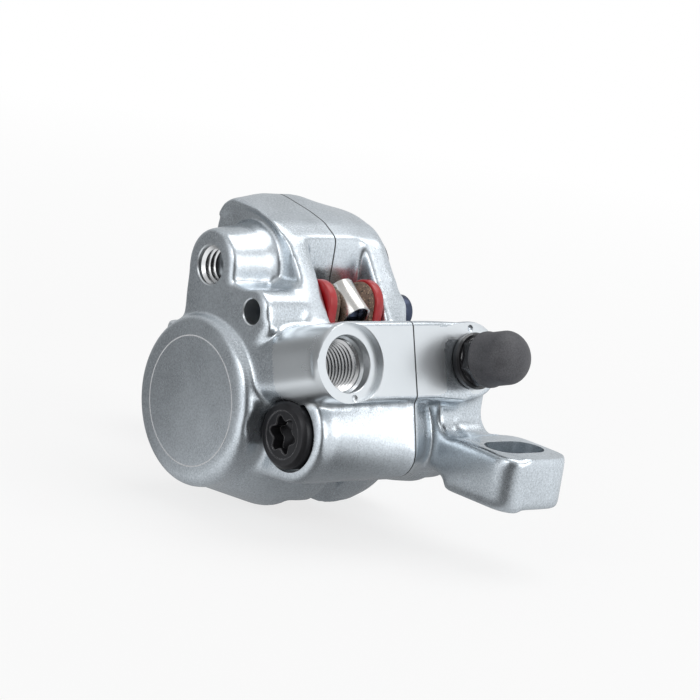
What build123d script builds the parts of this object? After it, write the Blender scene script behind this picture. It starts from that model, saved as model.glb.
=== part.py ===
from build123d import *
import os
from math import cos, radians, sin

# All sizes are millimetres. The piston axis is y, the rotor runs in the plane y = 0,
# and x and z are measured from the piston axis until the finished pieces are placed.

# Place of the caliper in its own frame: the origin lies between the two mounting slots, on their seats
mount_spacing = 74.0
rotor_offset = 14.1
seat_drop = 6.3

# Rotor that the caliper works on
rotor_radius = 80.0
rotor_tip_clearance = 1.6
piston_track_radius = 72.0
track_angle = 42.0
rotor_gap_half = 2.1

# Fits
running_clearance = 0.05
seat_clearance = 0.05
bolt_clearance = 0.2
thread_clearance = 0.05
pad_side_clearance = 0.25
overrun = 4.0

# Piston and its cylinder
piston_radius = 10.5
piston_face_y = 5.6
piston_length = 11.0
piston_wall = 2.2
piston_cup_depth = 6.5
piston_edge = 0.6
piston_nose_step = 0.6
insulator_thickness = 0.8
cylinder_end_y = 17.0
seal_depth = 1.9
seal_width = 2.2
seal_groove_clearance = 0.05
seal_y = 9.1

# Round cylinder boss on the outside of each half, and the skirt it widens into
boss_radius = 13.4
boss_face_y = 20.0
boss_edge_fillet = 1.6
boss_taper_y = 16.4
skirt_radius = 16.4
skirt_x = 1.5
skirt_z = -0.2
skirt_y = 5.6
label_ring_radius = 10.1
label_ring_width = 0.16
label_ring_depth = 0.15

# Core of each half: hood over the pads, cheeks of the window
core_half_width = 10.6
core_edge_fillet = 1.5
core_left = 14.0
core_left_top = 12.6
core_shoulder_z = 15.0
core_base_z = -6.0
hood_left_z = 28.4
hood_top_x = 10.4
hood_top_z = 30.6
hood_crown_radius = 18.0
hood_mid_x = -2.1
hood_mid_z = 29.8
hood_fall_x = 1.6
hood_fall_z = 28.9
lip_x = 5.1
lip_z = 27.0
cheek_foot_x = 14.1
cheek_foot_z = 15.2
core_right_x = 15.4
core_right_z = 3.0
core_corner_fillet = 1.6
window_half_width = 5.75

# Upper ear, with the upper body bolt, and the pad-pin boss beside it
upper_bolt_x = -2.6
upper_bolt_z = 20.9
ear_radius = 5.65
web_face_y = 18.0
web_root_y = 8.6
web_edge_fillet = 0.6
web_left_x = 7.4
web_foot_z = 8.0
web_corner_x = 13.4
web_corner_z = 14.5
web_dip_z = 19.3
web_diagonal_x = 9.5
web_diagonal_z = 9.0
pin_x = 8.75
pin_z = 16.25
pin_boss_radius = 3.6
far_ear_face_y = 11.8
far_pin_boss_y = 11.0

# Lower body bolt boss
lower_bolt_x = 18.2
lower_bolt_z = -0.5
lower_boss_radius = 7.5
lower_boss_face_y = 15.0
lower_boss_fillet = 0.7
lower_web_x = 6.0
lower_web_z = -1.0
lower_web_radius = 8.0
near_swell_y = 12.5
far_swell_y = 7.5
nose_x = 26.6
nose_z = -1.0
nose_radius = 4.2
nose_start_x = 21.4
chin_x = 27.9
chin_z = 6.0
chin_radius = 0.95
chin_start_x = 23.0
chin_start_z = 4.3
counterbore_radius = 5.6
counterbore_depth = 1.8

# Body bolts
bolt_radius = 3.0
bolt_head_radius = 5.25
bolt_head_height = 3.2
bolt_head_round = 0.7
bolt_socket_radius = 2.5
bolt_socket_depth = 2.0
upper_bolt_end_y = 13.4
lower_bolt_end_y = 10.0
lower_bolt_hole_end_y = 11.5

# Block with the hose port on the near half and the bleed port on the far half
block_tilt = 18.7
block_face = 29.9
block_root = 12.0
block_half_height = 6.1
block_centre = 3.8
port_y = -12.6
bleed_y = 12.0
port_centre = 3.5
port_recess_radius = 5.7
port_recess_depth = 1.1
port_radius = 4.0
port_depth = 11.0
port_chamfer = 0.4
passage_radius = 1.25
passage_end = 9.0
bleed_hole_depth = 10.0
block_face_chamfer = 0.25

# Crossover between the two cylinders
crossover_x = 21.5
crossover_z = 9.5
crossover_radius = 1.1
crossover_seal_inner = 1.5
crossover_seal_outer = 2.6
crossover_seal_height = 0.9
crossover_groove_clearance = 0.05

# Mounting ears of the far half, with the necks that carry them
ear_length = 7.0
ear_inner_x = 29.8
ear_thickness = 8.2
ear_front_y = 7.2
ear_back_y = 20.5
ear_corner_radius = 3.6
ear_edge_fillet = 0.6
ear_root_x = 9.0
slot_width = 6.4
slot_length = 10.4
neck_back_y = 16.6
neck_under_z = -4.2
neck_top_z = 8.0
port_neck_x = 26.6
port_neck_radius = 3.2
free_neck_x = 15.2
free_neck_radius = 6.0

# Brake pads: back plate and friction pad with a tab that hangs on the pin
plate_outer_y = 5.55
plate_thickness = 1.6
friction_thickness = 1.7
friction_inset = 0.35
friction_bevel = 1.0
pad_margin = 0.1
pad_half_width = piston_radius - pad_margin
pad_half_height = piston_radius - pad_margin
pad_corner_radius = 5.0
tab_half_width = 3.55
tab_top_z = 21.3
tab_shoulder_z = -1.0
pad_foot_z = -5.0
pad_pin_hole_clearance = 0.25

# Pad pin
pin_radius = 1.9
pin_head_radius = 2.7
pin_head_height = 1.9
pin_head_edge = 0.4
pin_end_y = 9.0
pin_socket_radius = 1.3
pin_socket_depth = 1.2

# Pad spring: a folded sheet, open towards the rotor, that pushes the pads apart
spring_half_width = 2.18
spring_sheet = 0.35
spring_tilt = -34.0
spring_start = -4.65
spring_end = 1.35
spring_crest = 22.85
spring_leg = 4.6
spring_left_x = 5.3

# Bleed nipple and its cap
nipple_thread_length = 8.0
nipple_collar_radius = 4.1
nipple_collar_height = 1.1
nipple_hex_across = 7.0
nipple_hex_height = 2.0
nipple_neck_radius = 2.2
nipple_neck_length = 2.6
nipple_tip_radius = 2.9
nipple_tip_end_radius = 1.9
nipple_tip_length = 2.4
nipple_bore_radius = 0.9
nipple_bore_depth = 9.0
cap_radius = 4.15
cap_lip_radius = 4.35
cap_lip_height = 0.8
cap_barrel = 5.2
cap_dome = 2.2


def along_y(sketch, y_low, y_high):
    """Solid of an x, z outline between two places on the piston axis."""
    return extrude(Plane.XZ.offset(-y_high) * sketch, amount=y_high - y_low)


def round_bar(x, z, radius, y_low, y_high):
    return along_y(Pos(x, z) * Circle(radius), y_low, y_high)


def near_edges(solid, y):
    """Edges of the faces that look along y at this place."""
    flat = [f for f in solid.faces().filter_by(Axis.Y) if abs(f.center().Y - y) < overrun / 1000]
    return [edge for face in flat for edge in face.edges()]


def block_plane(distance):
    """Plane across the port axis: its own x runs along y, its own y up the tilted port face."""
    axis = Vector(cos(radians(block_tilt)), 0, sin(radians(block_tilt)))
    return Plane(origin=axis * distance, x_dir=(0, 1, 0), z_dir=axis)


def along_block(sketch, start, end):
    return extrude(block_plane(start) * sketch, amount=end - start)


def half_space(side):
    """Large block on one side of the rotor plane; side is -1 for near and 1 for far."""
    reach = mount_spacing + rotor_offset
    return Pos(0, side * reach / 2, 0) * Box(reach * 2, reach, reach * 2)


def core_outline():
    points = [
        (-core_left, core_base_z),
        (-core_left, core_shoulder_z),
        (-core_left_top, hood_left_z),
        (-hood_top_x, hood_top_z),
        (hood_mid_x, hood_mid_z),
        (hood_fall_x, hood_fall_z),
        (lip_x, lip_z),
        (cheek_foot_x, cheek_foot_z),
        (core_right_x, core_right_z),
        (core_right_x, core_base_z),
    ]
    face = make_face(Polyline(*points, close=True))
    return fillet(face.vertices(), core_corner_fillet)


def web_outline():
    """Flat face with the threaded ear, the pin boss and the web down to the cylinder boss."""
    web = make_face(
        Polyline(
            (-web_left_x, web_foot_z),
            (upper_bolt_x - ear_radius, upper_bolt_z),
            (upper_bolt_x + ear_radius, upper_bolt_z),
            (upper_bolt_x + ear_radius, web_dip_z),
            (pin_x, web_dip_z),
            (pin_x + pin_boss_radius, pin_z),
            (web_corner_x, web_corner_z),
            (web_diagonal_x, web_diagonal_z),
            close=True,
        )
    )
    ear = Pos(upper_bolt_x, upper_bolt_z) * Circle(ear_radius)
    return web + ear + Pos(pin_x, pin_z) * Circle(pin_boss_radius)


def lower_web_outline():
    inner = Pos(lower_web_x, lower_web_z) * Circle(lower_web_radius)
    outer = Pos(lower_bolt_x, lower_bolt_z) * Circle(lower_boss_radius)
    return make_hull(inner.edges() + outer.edges())


def cylinder_boss():
    """Round boss round the cylinder, with the skirt it widens into near the rotor."""
    boss = round_bar(0, 0, boss_radius, -boss_face_y, -skirt_y)
    boss = fillet(near_edges(boss, -boss_face_y), boss_edge_fillet)
    small = Plane.XZ.offset(boss_taper_y) * Circle(boss_radius)
    large = Plane.XZ.offset(skirt_y) * Pos(skirt_x, skirt_z) * Circle(skirt_radius)
    flare = loft([small, large])
    skirt = round_bar(skirt_x, skirt_z, skirt_radius, -skirt_y, 0)
    return boss + flare + skirt


def hood():
    body = along_y(core_outline(), -core_half_width, 0)
    body = fillet(near_edges(body, -core_half_width), core_edge_fillet)
    crown_z = hood_top_z - hood_crown_radius
    reach = core_left + core_right_x
    crown = Pos(0, crown_z) * Circle(hood_crown_radius)
    crown += Pos(0, crown_z - reach / 2) * Rectangle(hood_crown_radius * 2, reach)
    return body & extrude(Plane.YZ.offset(-reach) * crown, amount=reach * 2)


def port_block(side):
    """Stadium-ended block along the tilted port axis, cut to one half."""
    sketch = Pos((port_y + bleed_y) / 2, block_centre) * SlotCenterToCenter(
        bleed_y - port_y, block_half_height * 2
    )
    block = along_block(sketch, block_root, block_face)
    ends = block.faces().sort_by(Axis.X)[-1]
    block = chamfer(ends.edges(), block_face_chamfer)
    return block & half_space(side)


def pad_pocket():
    """Space for the pads, open towards the rotor centre, in both halves."""
    gap = pad_side_clearance
    width = pad_half_width + gap
    tab_right = pin_x + tab_half_width + gap
    tab_left = pin_x - tab_half_width - gap
    depth = skirt_radius + overrun
    main = make_face(
        Polyline(
            (-width, -depth),
            (-width, pad_half_height + gap),
            (tab_left, pad_half_height + gap),
            (tab_left, tab_top_z + gap),
            (tab_right, tab_top_z + gap),
            (tab_right, pad_foot_z - gap),
            (width, pad_foot_z - gap),
            (width, -depth),
            close=True,
        )
    )
    return along_y(main, -window_half_width, window_half_width)


def window():
    """Opening above the port block, through which the pads show."""
    slope = sin(radians(block_tilt)) / cos(radians(block_tilt))
    base = (block_centre + block_half_height) / cos(radians(block_tilt))
    far_x = block_face + overrun
    top = hood_top_z + overrun
    outline = make_face(
        Polyline(
            (lip_x, base + lip_x * slope),
            (lip_x, top),
            (far_x, top),
            (far_x, base + far_x * slope),
            close=True,
        )
    )
    return along_y(outline, -window_half_width, window_half_width)


def rotor_space():
    centre_x = -piston_track_radius * cos(radians(track_angle))
    centre_z = -piston_track_radius * sin(radians(track_angle))
    reach = rotor_radius + rotor_tip_clearance
    return round_bar(centre_x, centre_z, reach, -rotor_gap_half, rotor_gap_half)


def cylinder_cut(side):
    """Cylinder with its seal groove, on one side of the rotor."""
    bore = round_bar(0, 0, piston_radius + running_clearance, 0, cylinder_end_y)
    groove_half = seal_width / 2 + seal_groove_clearance
    groove_radius = piston_radius + seal_depth
    groove = round_bar(0, 0, groove_radius, seal_y - groove_half, seal_y + groove_half)
    cut = bore + groove
    return cut if side > 0 else mirror(cut, about=Plane.XZ)


def swell_outline(nose, chin):
    """Outline round the lower bolt boss, the nose beside it and the chin under the block."""
    round_part = Pos(lower_bolt_x, lower_bolt_z) * Circle(lower_boss_radius)
    nose_part = Pos(nose, nose_z) * Circle(nose_radius)
    chin_part = Pos(*chin) * Circle(chin_radius)
    return make_hull(round_part.edges() + nose_part.edges() + chin_part.edges())


def lower_swell(length):
    """Body round the lower bolt, swelling from the round boss to the joint of the halves."""
    start = Plane.XZ.offset(length) * swell_outline(nose_start_x, (chin_start_x, chin_start_z))
    end = Plane.XZ * swell_outline(nose_x, (chin_x, chin_z))
    return loft([start, end], ruled=True)


def shared_half(swell_length):
    """What both halves have, on the near side: boss, hood and lower bolt boss."""
    lower = along_y(lower_web_outline(), -lower_boss_face_y, -skirt_y)
    lower = fillet(near_edges(lower, -lower_boss_face_y), lower_boss_fillet)
    return cylinder_boss() + hood() + lower + lower_swell(swell_length)


def near_body():
    web = along_y(web_outline(), -web_face_y, -web_root_y)
    web = fillet(near_edges(web, -web_face_y), web_edge_fillet)
    body = shared_half(near_swell_y) + web + port_block(-1)
    body -= pad_pocket() + window() + rotor_space()
    body -= cylinder_cut(-1)
    body -= round_bar(upper_bolt_x, upper_bolt_z, bolt_radius + thread_clearance, -boss_face_y, overrun)
    body -= round_bar(lower_bolt_x, lower_bolt_z, bolt_radius + bolt_clearance, -boss_face_y, overrun)
    seat = lower_boss_face_y - counterbore_depth
    body -= round_bar(lower_bolt_x, lower_bolt_z, counterbore_radius, -lower_boss_face_y, -seat)
    head_space = bolt_head_radius + running_clearance
    body -= round_bar(lower_bolt_x, lower_bolt_z, head_space, -boss_face_y, -lower_boss_face_y)
    body -= round_bar(pin_x, pin_z, pin_radius + thread_clearance, -boss_face_y, 0)
    ring = Circle(label_ring_radius + label_ring_width / 2) - Circle(label_ring_radius - label_ring_width / 2)
    body -= along_y(ring, -boss_face_y - overrun, -boss_face_y + label_ring_depth)
    floor = block_face - port_recess_depth
    centre = Pos(port_y, port_centre)
    body -= along_block(centre * Circle(port_recess_radius), floor, block_face + overrun)
    body -= along_block(centre * Circle(port_radius), floor - port_depth, floor + overrun)
    mouth = block_plane(floor - port_chamfer) * centre * Circle(port_radius)
    rim = block_plane(floor) * centre * Circle(port_radius + port_chamfer)
    body -= loft([mouth, rim])
    body -= along_block(centre * Circle(passage_radius), passage_end, floor - port_depth + passage_radius)
    body -= round_bar(crossover_x, crossover_z, crossover_radius, port_y, overrun)
    groove = crossover_seal_height + crossover_groove_clearance
    groove_radius = crossover_seal_outer + crossover_groove_clearance
    body -= round_bar(crossover_x, crossover_z, groove_radius, -groove, overrun)
    return body


def mounting_ear(neck_x, cove_radius):
    """Slotted ear with the neck that carries it; the cove lies between neck and ear top."""
    tip = mount_spacing / 2 + ear_length
    seat = -seat_drop
    top = seat + ear_thickness
    step = neck_under_z - seat
    quarter = 1 - cos(radians(45))
    under = ThreePointArc(
        (ear_inner_x - step, neck_under_z),
        (ear_inner_x - step * quarter, neck_under_z - step * quarter),
        (ear_inner_x, seat),
    )
    cove = ThreePointArc(
        (neck_x + cove_radius, top),
        (neck_x + cove_radius * quarter, top + cove_radius * quarter),
        (neck_x, top + cove_radius),
    )
    inside = ear_inner_x + ear_edge_fillet
    sides = Polyline((ear_inner_x, seat), (inside, seat), (inside, top), cove @ 0)
    back = Polyline(cove @ 1, (neck_x, neck_top_z), (ear_root_x, neck_top_z), (ear_root_x, neck_under_z), under @ 0)
    neck = along_y(make_face(under + sides + cove + back), ear_front_y, neck_back_y)
    plan = make_face(
        Polyline(
            (ear_inner_x, ear_front_y), (tip, ear_front_y), (tip, ear_back_y), (ear_inner_x, ear_back_y), close=True
        )
    )
    corners = plan.vertices().sort_by(Axis.X)
    plan = fillet(corners[2:] + corners[:2].sort_by(Axis.Y)[1:], ear_corner_radius)
    slab = extrude(Plane.XY.offset(seat) * plan, amount=ear_thickness)
    slab = fillet(slab.faces().filter_by(Axis.Z).edges(), ear_edge_fillet)
    slot_sketch = Pos(mount_spacing / 2, rotor_offset) * Rot(0, 0, 90) * SlotOverall(slot_length, slot_width)
    slot = extrude(Plane.XY.offset(seat - overrun) * slot_sketch, amount=ear_thickness + overrun * 2)
    return neck + slab - slot


def far_body():
    ear = round_bar(upper_bolt_x, upper_bolt_z, ear_radius, web_root_y, far_ear_face_y)
    pin_boss = round_bar(pin_x, pin_z, pin_boss_radius, web_root_y, far_pin_boss_y)
    body = mirror(shared_half(far_swell_y), about=Plane.XZ) + ear + pin_boss + port_block(1)
    body += mounting_ear(port_neck_x, port_neck_radius)
    body += mirror(mounting_ear(free_neck_x, free_neck_radius), about=Plane.YZ)
    body -= pad_pocket() + window() + rotor_space()
    body -= cylinder_cut(1)
    body -= round_bar(upper_bolt_x, upper_bolt_z, bolt_radius + bolt_clearance, -overrun, boss_face_y)
    body -= round_bar(lower_bolt_x, lower_bolt_z, bolt_radius + thread_clearance, -overrun, lower_bolt_hole_end_y)
    body -= round_bar(pin_x, pin_z, pin_radius + thread_clearance, 0, boss_face_y)
    centre = Pos(bleed_y, port_centre)
    hole = bolt_radius + thread_clearance
    body -= along_block(centre * Circle(hole), block_face - bleed_hole_depth, block_face + overrun)
    body -= along_block(centre * Circle(passage_radius), passage_end, block_face)
    body -= round_bar(crossover_x, crossover_z, crossover_radius, -overrun, bleed_y)
    return body


def piston(side):
    """Cup piston, open towards the pad, with a step that holds the insulator disc."""
    end = piston_face_y + piston_length
    cup = round_bar(0, 0, piston_radius, piston_face_y, end)
    cup = chamfer(near_edges(cup, end), piston_edge)
    hollow = piston_radius - piston_wall
    cup -= round_bar(0, 0, hollow, 0, piston_face_y + piston_cup_depth)
    seat = hollow + piston_nose_step
    cup -= round_bar(0, 0, seat, 0, piston_face_y + insulator_thickness)
    return cup if side > 0 else mirror(cup, about=Plane.XZ)


def piston_insulator(side):
    radius = piston_radius - piston_wall + piston_nose_step - running_clearance
    disc = round_bar(0, 0, radius, piston_face_y, piston_face_y + insulator_thickness)
    return disc if side > 0 else mirror(disc, about=Plane.XZ)


def piston_seal(side):
    ring = Circle(piston_radius + seal_depth - seal_groove_clearance) - Circle(
        piston_radius + running_clearance
    )
    seal = along_y(ring, seal_y - seal_width / 2, seal_y + seal_width / 2)
    return seal if side > 0 else mirror(seal, about=Plane.XZ)


def pad_outline(inset):
    """Rounded pad with the tab that hangs on the pin, drawn in by the inset."""
    width = (pad_half_width - inset) * 2
    height = (pad_half_height - inset) * 2
    main = RectangleRounded(width, height, pad_corner_radius)
    half = tab_half_width - inset
    centre_z = tab_top_z - tab_half_width
    shoulder = Polyline(
        (pin_x - half, 0),
        (pin_x - half, centre_z),
        (pin_x + half, centre_z),
        (pin_x + half, tab_shoulder_z),
        (pad_half_width - inset, pad_foot_z),
        (0, pad_foot_z),
        close=True,
    )
    tab = make_face(shoulder) + Pos(pin_x, centre_z) * Circle(half)
    hole = Pos(pin_x, pin_z) * Circle(pin_radius + pad_pin_hole_clearance)
    return main + tab - hole


def back_plate(side):
    plate = along_y(pad_outline(0), plate_outer_y - plate_thickness, plate_outer_y)
    return plate if side > 0 else mirror(plate, about=Plane.XZ)


def friction_pad(side):
    outer = plate_outer_y - plate_thickness
    pad = along_y(pad_outline(friction_inset), outer - friction_thickness, outer)
    rim = near_edges(pad, outer - friction_thickness)
    hole_reach = pin_radius + pad_pin_hole_clearance + friction_bevel
    rim = [e for e in rim if (e.center() - Vector(pin_x, e.center().Y, pin_z)).length > hole_reach]
    pad = chamfer(rim, friction_bevel)
    return pad if side > 0 else mirror(pad, about=Plane.XZ)


def pad_spring():
    """Sheet folded over the gap between the pads, with legs that hang down beside the pin."""
    along = Vector(cos(radians(spring_tilt)), 0, sin(radians(spring_tilt)))
    out = Vector(-sin(radians(spring_tilt)), 0, cos(radians(spring_tilt)))
    crest = Vector(pin_x, 0, pin_z)
    crest += out * (spring_crest - crest.dot(out)) + along * (spring_start - crest.dot(along))
    plane = Plane(origin=crest, x_dir=(0, 1, 0), z_dir=along)
    fold = Pos(0, -spring_half_width)
    legs = Pos(0, -spring_half_width - spring_leg / 2)
    inner_radius = spring_half_width - spring_sheet
    outer = fold * Circle(spring_half_width) + legs * Rectangle(spring_half_width * 2, spring_leg)
    inner = fold * Circle(inner_radius) + legs * Rectangle(inner_radius * 2, spring_leg + spring_sheet)
    sheet = extrude(plane * (outer - inner), amount=spring_end - spring_start, dir=along)
    reach = boss_face_y * 2
    sheet -= Pos(spring_left_x - reach / 2, 0, pin_z) * Box(reach, reach, reach)
    return sheet - round_bar(pin_x, pin_z, pin_radius + pad_pin_hole_clearance, -boss_face_y, boss_face_y)


def pad_pin():
    shank = round_bar(pin_x, pin_z, pin_radius, -pin_end_y, far_pin_boss_y)
    top = far_pin_boss_y + pin_head_height
    head = round_bar(pin_x, pin_z, pin_head_radius, far_pin_boss_y, top)
    head = fillet(near_edges(head, top), pin_head_edge)
    socket = along_y(
        Pos(pin_x, pin_z) * RegularPolygon(pin_socket_radius, 6), top - pin_socket_depth, top + overrun
    )
    return shank + head - socket


def body_bolt(x, z, seat_y, end_y):
    """Button-headed bolt along y: the head stands at seat_y and the shank runs to end_y."""
    way = 1 if end_y > seat_y else -1
    crown = seat_y - way * bolt_head_height
    head = round_bar(x, z, bolt_head_radius, min(seat_y, crown), max(seat_y, crown))
    head = fillet(near_edges(head, crown), bolt_head_round)
    shank = round_bar(x, z, bolt_radius, min(seat_y, end_y), max(seat_y, end_y))
    floor = crown + way * bolt_socket_depth
    open_end = crown - way * overrun
    socket = along_y(
        Pos(x, z) * RegularPolygon(bolt_socket_radius, 6), min(floor, open_end), max(floor, open_end)
    )
    return head + shank - socket


def crossover_seal():
    ring = Circle(crossover_seal_outer) - Circle(crossover_seal_inner)
    return along_y(Pos(crossover_x, crossover_z) * ring, -crossover_seal_height, 0)


def bleed_nipple():
    centre = Pos(bleed_y, port_centre)
    seat = block_face + seat_clearance
    collar_end = seat + nipple_collar_height
    hex_end = collar_end + nipple_hex_height
    neck_end = hex_end + nipple_neck_length
    tip_end = neck_end + nipple_tip_length
    body = along_block(centre * Circle(bolt_radius - thread_clearance), seat - nipple_thread_length, seat)
    body += along_block(centre * Circle(nipple_collar_radius), seat, collar_end)
    body += along_block(
        centre * RegularPolygon(nipple_hex_across / 2, 6, major_radius=False), collar_end, hex_end
    )
    body += along_block(centre * Circle(nipple_neck_radius), hex_end, neck_end)
    base = block_plane(neck_end) * centre * Circle(nipple_tip_radius)
    point = block_plane(tip_end) * centre * Circle(nipple_tip_end_radius)
    body += loft([base, point])
    return body - along_block(centre * Circle(nipple_bore_radius), tip_end - nipple_bore_depth, tip_end + overrun)


def bleed_cap():
    """Rubber cap over the nipple: thicker lip, barrel and domed end."""
    base = block_face + seat_clearance * 2 + nipple_collar_height + nipple_hex_height
    barrel_end = cap_barrel
    top = barrel_end + cap_dome
    tip_hollow = nipple_neck_length + nipple_tip_length + seat_clearance * 2
    wide = nipple_tip_radius + running_clearance
    narrow = nipple_tip_end_radius + running_clearance
    dome_radius = (cap_radius**2 + cap_dome**2) / (2 * cap_dome)
    dome_centre = top - dome_radius
    rise = Polyline(
        (0, top),
        (0, tip_hollow),
        (narrow, tip_hollow),
        (wide, nipple_neck_length - seat_clearance * 2),
        (wide, 0),
        (cap_lip_radius, 0),
        (cap_lip_radius, cap_lip_height),
        (cap_radius, cap_lip_height),
        (cap_radius, barrel_end),
    )
    dome = RadiusArc(rise @ 1, rise @ 0, -dome_radius)
    cap = revolve(Plane.XZ * make_face(rise + dome), axis=Axis.Z)
    target = block_plane(base)
    centre = target.from_local_coords((bleed_y, port_centre, 0))
    return Plane(origin=centre, x_dir=(0, 1, 0), z_dir=target.z_dir) * cap


def place(solid):
    """Moves a finished piece from the piston axis to the frame of the mounting slots."""
    return Pos(0, -rotor_offset, seat_drop) * solid


def build():
    lower_seat = -(lower_boss_face_y - counterbore_depth)
    return {
        "near_body": near_body(),
        "far_body": far_body(),
        "near_piston": piston(-1),
        "far_piston": piston(1),
        "near_insulator": piston_insulator(-1),
        "far_insulator": piston_insulator(1),
        "near_piston_seal": piston_seal(-1),
        "far_piston_seal": piston_seal(1),
        "near_back_plate": back_plate(-1),
        "far_back_plate": back_plate(1),
        "near_friction_pad": friction_pad(-1),
        "far_friction_pad": friction_pad(1),
        "pad_spring": pad_spring(),
        "pad_pin": pad_pin(),
        "upper_body_bolt": body_bolt(upper_bolt_x, upper_bolt_z, far_ear_face_y, -upper_bolt_end_y),
        "lower_body_bolt": body_bolt(lower_bolt_x, lower_bolt_z, lower_seat, lower_bolt_end_y),
        "crossover_seal": crossover_seal(),
        "bleed_nipple": bleed_nipple(),
        "bleed_cap": bleed_cap(),
    }


os.makedirs("parts", exist_ok=True)
for name, solid in build().items():
    export_step(place(solid), os.path.join("parts", name + ".step"))
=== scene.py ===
from math import cos, floor, pi, radians, sin

import bmesh
import bpy
import numpy as np
from mathutils import Matrix, Vector


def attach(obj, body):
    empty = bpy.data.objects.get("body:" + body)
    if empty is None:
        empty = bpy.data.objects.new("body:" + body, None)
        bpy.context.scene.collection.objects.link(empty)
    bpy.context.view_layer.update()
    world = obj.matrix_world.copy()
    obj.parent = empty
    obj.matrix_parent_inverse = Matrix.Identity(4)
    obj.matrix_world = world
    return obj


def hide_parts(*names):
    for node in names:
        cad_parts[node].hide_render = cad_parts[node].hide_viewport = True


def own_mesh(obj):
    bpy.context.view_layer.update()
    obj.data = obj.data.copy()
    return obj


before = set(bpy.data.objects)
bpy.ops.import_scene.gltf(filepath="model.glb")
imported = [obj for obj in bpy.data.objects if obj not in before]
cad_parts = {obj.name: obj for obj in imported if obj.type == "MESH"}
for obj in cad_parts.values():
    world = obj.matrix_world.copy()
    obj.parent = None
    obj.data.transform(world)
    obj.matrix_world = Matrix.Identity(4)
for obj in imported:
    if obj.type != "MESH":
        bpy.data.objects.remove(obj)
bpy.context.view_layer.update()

# Shapes are built in millimetres from the piston axis and moved to the frame at the end.
pistonOffset = Vector((0, -14.1, 6.3))
toFrame = Matrix.Scale(0.001, 4) @ Matrix.Translation(pistonOffset)
toPiston = toFrame.inverted()

blockTilt = radians(18.7)
blockAxis = Vector((cos(blockTilt), 0, sin(blockTilt)))
blockUp = Vector((-sin(blockTilt), 0, cos(blockTilt)))
nearWay = Vector((0, -1, 0))
farWay = Vector((0, 1, 0))
origin = Vector((0, 0, 0))


def onBlock(along, y, up):
    # a point given along and above the tilted port block's axis
    return blockAxis * along + blockUp * up + Vector((0, y, 0))


def across(spot):
    # an (x, z) place on the joint plane between the halves
    return Vector((spot[0], 0, spot[1]))


# Mesh helpers
def turned(profile, base, way, segments=96):
    # profile holds (radius, height) pairs; a radius may be a function of the angle
    bm = bmesh.new()
    side = way.orthogonal().normalized()
    up = way.cross(side).normalized()
    rings = []
    for radius, height in profile:
        centre = base + way * height
        if not callable(radius) and radius < 1e-6:
            rings.append([bm.verts.new(centre)])
            continue
        ring = []
        for step in range(segments):
            angle = 2 * pi * step / segments
            reach = radius(angle) if callable(radius) else radius
            ring.append(bm.verts.new(centre + (side * cos(angle) + up * sin(angle)) * reach))
        rings.append(ring)
    pairs = list(zip(rings, rings[1:]))
    if len(rings[0]) > 1 and len(rings[-1]) > 1:
        pairs.append((rings[-1], rings[0]))
    for low, high in pairs:
        for step in range(segments):
            after = (step + 1) % segments
            corners = [
                low[step % len(low)],
                low[after % len(low)],
                high[after % len(high)],
                high[step % len(high)],
            ]
            unique = list(dict.fromkeys(corners))
            if len(unique) > 2:
                bm.faces.new(unique)
    bmesh.ops.recalc_face_normals(bm, faces=bm.faces)
    return bm


def prism(outline, low, high):
    # outline holds points in space, pushed from low to high along its own vector
    bm = bmesh.new()
    bottom = [bm.verts.new(point + low) for point in outline]
    top = [bm.verts.new(point + high) for point in outline]
    bm.faces.new(bottom)
    bm.faces.new(top)
    for step in range(len(outline)):
        after = (step + 1) % len(outline)
        bm.faces.new((bottom[step], bottom[after], top[after], top[step]))
    bmesh.ops.recalc_face_normals(bm, faces=bm.faces)
    return bm


def asMesh(bm, name):
    mesh = bpy.data.meshes.new(name)
    bm.to_mesh(mesh)
    bm.free()
    return mesh


def asObject(mesh, name):
    thing = bpy.data.objects.new(name, mesh)
    bpy.context.scene.collection.objects.link(thing)
    return thing


def applied(thing):
    # turns the object's modifiers into plain mesh
    graph = bpy.context.evaluated_depsgraph_get()
    mesh = bpy.data.meshes.new_from_object(thing.evaluated_get(graph))
    thing.modifiers.clear()
    old = thing.data
    thing.data = mesh
    bpy.data.meshes.remove(old)


def cut(thing, bm):
    # takes the cutter's form away from the object
    tool = asObject(asMesh(bm, "tool"), "tool")
    modifier = thing.modifiers.new("cut", "BOOLEAN")
    modifier.operation = "DIFFERENCE"
    modifier.solver = "MANIFOLD"
    modifier.object = tool
    applied(thing)
    mesh = tool.data
    bpy.data.objects.remove(tool)
    bpy.data.meshes.remove(mesh)


def points(mesh):
    flat = np.zeros(len(mesh.vertices) * 3)
    mesh.vertices.foreach_get("co", flat)
    return flat.reshape(-1, 3)


def setPoints(mesh, places):
    mesh.vertices.foreach_set("co", places.reshape(-1))
    mesh.update()


def finishPiece(name, mesh, coats, bodyName, slotName, nodes=(), sharp=35):
    # into the frame, with its materials, smooth shading, body and the nodes it stands for; the slot is not used
    thing = asObject(mesh, name)
    mesh.name = name
    mesh.transform(toFrame)
    mesh.materials.clear()
    for coat in coats:
        mesh.materials.append(coat)
    mesh.shade_smooth()
    mesh.set_sharp_from_angle(angle=radians(sharp))
    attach(thing, bodyName)
    if nodes:
        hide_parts(*nodes)
    return thing


# How a solid's edges are found and rounded, in millimetres and degrees
rounding = {"weld": 0.002, "flat": 0.5, "hard": 40, "segments": 2}


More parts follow.
